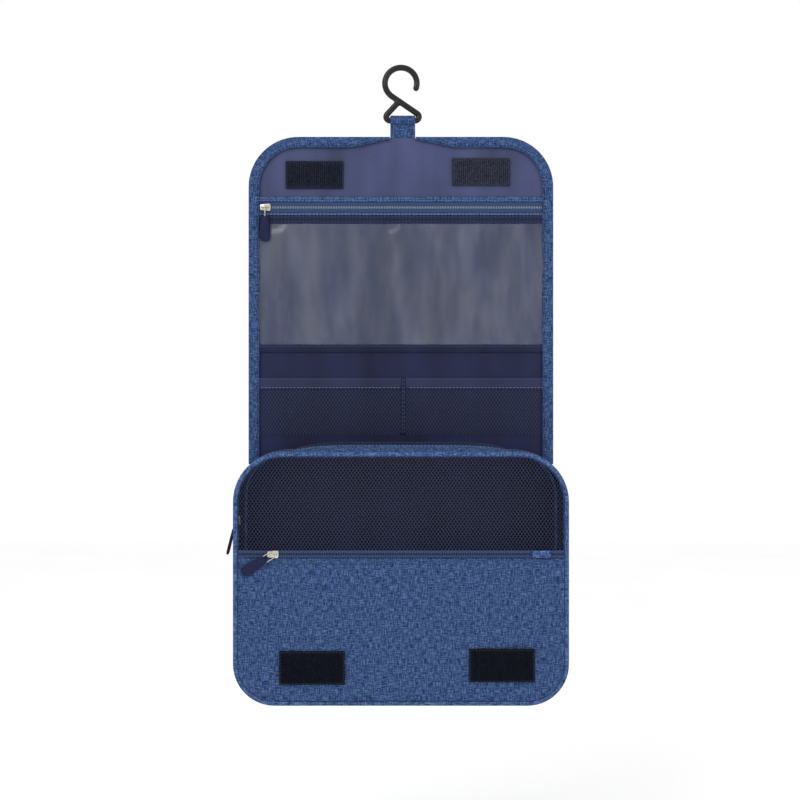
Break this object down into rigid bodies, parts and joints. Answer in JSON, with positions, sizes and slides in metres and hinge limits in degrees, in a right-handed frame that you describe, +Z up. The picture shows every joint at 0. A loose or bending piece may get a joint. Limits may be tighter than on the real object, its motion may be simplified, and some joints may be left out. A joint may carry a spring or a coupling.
{
  "type": "hanging toiletry bag",
  "caption": "Hanging wash bag that folds flat: hook, flap with clear zip pocket, net pockets and a zipped bag with a net window, closed by hook-and-loop patches.",
  "frame": {"origin": "the point inside the hook's crown that rests on a rail", "axes": "+Z up; +X to the right seen from the front; the bag's front faces -Y, and it leans 2.8 degrees back about the hook's bar, as the empty bag hangs"},
  "size_m": [0.25, 0.0672, 0.479],
  "materials": {
    "heather_fabric": "melange polyester canvas",
    "satin_lining": "smooth satin",
    "dark_lining": "plain lining",
    "foam": "closed-cell foam sheet",
    "clear_film": "clear soft PVC film",
    "net": "knitted net",
    "hook_loop": "hook-and-loop patch",
    "zip_tape": "zip tape with nylon coil",
    "metal": "pale plated zinc",
    "rubber": "moulded soft rubber",
    "hook_black": "glossy black"
  },
  "bodies": {
    "hook": {"hook": "hook_black"},
    "upper_panel": {"hanging_loop": "heather_fabric", "upper_shell": "heather_fabric", "upper_foam": "foam", "upper_lining": "satin_lining", "upper_binding_left": "heather_fabric", "upper_binding_right": "heather_fabric", "flap_patch_left": "hook_loop", "flap_patch_right": "hook_loop", "window_zip_cover_upper": "heather_fabric", "window_zip_cover_lower": "heather_fabric", "window_zip_tape_upper": "zip_tape", "window_zip_tape_lower": "zip_tape", "window_top_trim": "dark_lining", "window_film": "clear_film", "window_bottom_trim": "dark_lining"},
    "window_slider": {"window_zip_slider": "metal"},
    "window_pull": {"window_pull_link": "metal", "window_pull_tab": "rubber"},
    "pocket_panel": {"middle_shell": "heather_fabric", "middle_foam": "foam", "middle_lining": "dark_lining", "middle_binding_left": "heather_fabric", "middle_binding_right": "heather_fabric", "pocket_net_left": "net", "pocket_net_right": "net", "pocket_hem_left": "dark_lining", "pocket_hem_right": "dark_lining", "pocket_divider": "dark_lining"},
    "bag": {"back_shell": "heather_fabric", "back_foam": "foam", "back_lining": "satin_lining", "back_piping": "heather_fabric", "rear_gusset": "heather_fabric", "rear_gusset_lining": "dark_lining", "rear_zip_tape": "zip_tape"},
    "main_slider": {"main_zip_slider": "metal"},
    "main_pull": {"main_pull_link": "metal", "main_pull_tab": "rubber"},
    "lid": {"lid_gusset": "heather_fabric", "lid_gusset_lining": "dark_lining", "lid_zip_tape": "zip_tape", "front_piping": "heather_fabric", "lid_net": "net", "lid_panel": "heather_fabric", "lid_panel_lining": "dark_lining", "lid_hem": "heather_fabric", "front_zip_tape_upper": "zip_tape", "front_zip_tape_lower": "zip_tape", "front_zip_end_tab": "heather_fabric", "lid_patch_left": "hook_loop", "lid_patch_right": "hook_loop"},
    "front_slider": {"front_zip_slider": "metal"},
    "front_pull": {"front_pull_link": "metal", "front_pull_tab": "rubber"}
  },
  "joints": [
    {"name": "loop_swing", "type": "hinge", "parent": "hook", "child": "upper_panel", "pos_m": [0.0014, 0, -0.0387], "axis": [1, 0, 0], "range_deg": [-75, 75]},
    {"name": "upper_fold", "type": "hinge", "parent": "upper_panel", "child": "pocket_panel", "pos_m": [0, 0.00752, -0.21905], "axis": [-1, 0, 0], "range_deg": [0, 86]},
    {"name": "lower_fold", "type": "hinge", "parent": "pocket_panel", "child": "bag", "pos_m": [0, 0.01059, -0.28187], "axis": [-1, 0, 0], "range_deg": [0, 94]},
    {"name": "lid_hinge", "type": "hinge", "parent": "bag", "child": "lid", "pos_m": [0, -0.01083, -0.47225], "axis": [-1, 0, 0], "range_deg": [-105, 0]},
    {"name": "window_zip", "type": "slide", "parent": "upper_panel", "child": "window_slider", "axis": [1, 0, 0], "range_m": [0, 0.2]},
    {"name": "window_pull_swing", "type": "hinge", "parent": "window_slider", "child": "window_pull", "pos_m": [-0.1032, -0.00273, -0.10571], "axis": [1, 0, 0], "range_deg": [-120, 0]},
    {"name": "front_zip", "type": "slide", "parent": "lid", "child": "front_slider", "axis": [1, 0, 0], "range_m": [0, 0.178]},
    {"name": "front_pull_swing", "type": "hinge", "parent": "front_slider", "child": "front_pull", "pos_m": [-0.092, -0.04194, -0.36544], "axis": [0.524, 0.0416, -0.8507], "range_deg": [-120, 0]},
    {"name": "main_zip", "type": "slide", "parent": "bag", "child": "main_slider", "axis": [0, -0.0489, 0.9988], "range_m": [-0.095, 0.01]},
    {"name": "main_pull_swing", "type": "hinge", "parent": "main_slider", "child": "main_pull", "pos_m": [-0.12185, -0.01719, -0.3422], "axis": [0, -0.9988, -0.0489], "range_deg": [-100, 0]}
  ]
}
